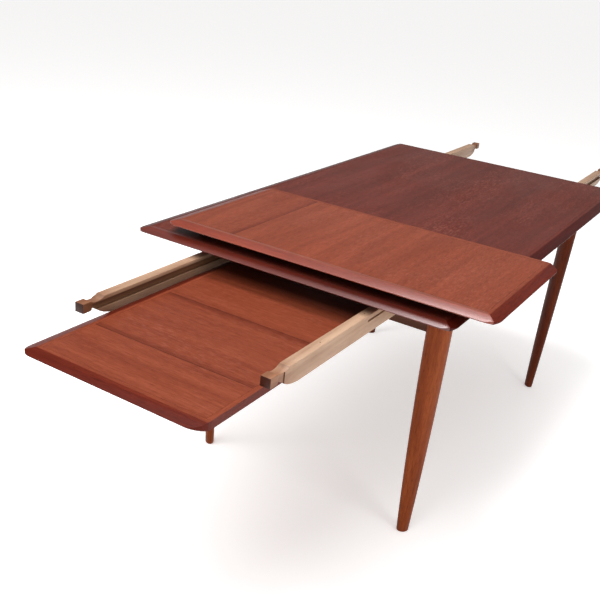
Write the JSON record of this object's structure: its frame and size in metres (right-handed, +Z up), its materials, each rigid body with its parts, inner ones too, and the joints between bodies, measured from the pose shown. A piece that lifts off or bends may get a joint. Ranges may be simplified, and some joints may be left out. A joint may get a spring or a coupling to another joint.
{
  "type": "extendable dining table",
  "caption": "Rectangular wooden dining table with bevelled edges and tapered legs. Lopers slide out at both ends and carry extension leaves stored under the top.",
  "frame": {"origin": "on the floor, under the middle of the whole set as it stands with its lopers and one leaf drawn out", "axes": "+Z up, +Y along the table from the end with the drawn leaf to the far end, +X across the table to the right"},
  "size_m": [0.975, 2.617, 0.77],
  "materials": {
    "top_teak": "satin oiled teak",
    "leaf_teak": "satin oiled teak, less aged",
    "leg_teak": "satin oiled solid teak",
    "frame_teak": "satin oiled teak",
    "beech": "plain waxed beech",
    "steel": "plain pin"
  },
  "bodies": {
    "table": {"corner_block_far_left": "beech", "corner_block_far_right": "beech", "corner_block_near_left": "beech", "corner_block_near_right": "beech", "cross_rail_far": "beech", "cross_rail_near": "beech", "end_apron_far": "frame_teak", "end_apron_near": "frame_teak", "inner_guide_left": "beech", "inner_guide_right": "beech", "leg_far_left": "leg_teak", "leg_far_right": "leg_teak", "leg_near_left": "leg_teak", "leg_near_right": "leg_teak", "loper_divider_left": "beech", "loper_divider_right": "beech", "loper_guide_left": "beech", "loper_guide_right": "beech", "side_apron_left": "frame_teak", "side_apron_right": "frame_teak", "stop_pin_far_left": "steel", "stop_pin_far_right": "steel", "stop_pin_near_left": "steel", "stop_pin_near_right": "steel", "store_bearer_far": "beech", "store_bearer_near": "beech", "store_side_left": "beech", "store_side_right": "beech", "top_lipping_far": "top_teak", "top_lipping_left": "top_teak", "top_lipping_near": "top_teak", "top_lipping_right": "top_teak", "top_panel": "top_teak"},
    "left near loper": {"near_loper_left": "beech"},
    "right near loper": {"near_loper_right": "beech"},
    "left far loper": {"far_loper_left": "beech"},
    "right far loper": {"far_loper_right": "beech"},
    "drawn leaf": {"lower_leaf_cleat_a": "beech", "lower_leaf_cleat_b": "beech", "lower_leaf_joint_strip": "leaf_teak", "lower_leaf_lipping_far": "leaf_teak", "lower_leaf_lipping_near": "leaf_teak", "lower_leaf_lipping_outer": "leaf_teak", "lower_leaf_panel": "leaf_teak"},
    "top leaf": {"upper_leaf_cleat_a": "beech", "upper_leaf_cleat_b": "beech", "upper_leaf_joint_strip": "leaf_teak", "upper_leaf_lipping_left": "leaf_teak", "upper_leaf_lipping_outer": "leaf_teak", "upper_leaf_lipping_right": "leaf_teak", "upper_leaf_panel": "leaf_teak"}
  },
  "joints": [
    {"name": "near_left_loper_slide", "type": "slide", "parent": "table", "child": "left near loper", "axis": [0, 1, 0], "range_m": [-0.086, 0.438]},
    {"name": "far_left_loper_slide", "type": "slide", "parent": "table", "child": "left far loper", "axis": [0, -1, 0], "range_m": [-0.019, 0.505]},
    {"name": "near_right_loper_slide", "type": "slide", "parent": "table", "child": "right near loper", "axis": [0, 1, 0], "range_m": [-0.086, 0.438]},
    {"name": "far_right_loper_slide", "type": "slide", "parent": "table", "child": "right far loper", "axis": [0, -1, 0], "range_m": [-0.019, 0.505]},
    {"name": "lower_leaf_slide", "type": "slide", "parent": "table", "child": "drawn leaf", "axis": [0, 1, 0], "range_m": [-0.04, 0.66]},
    {"name": "upper_leaf_lift", "type": "slide", "parent": "table", "child": "top leaf", "axis": [0, 0, 1], "range_m": [0, 0.3]}
  ]
}
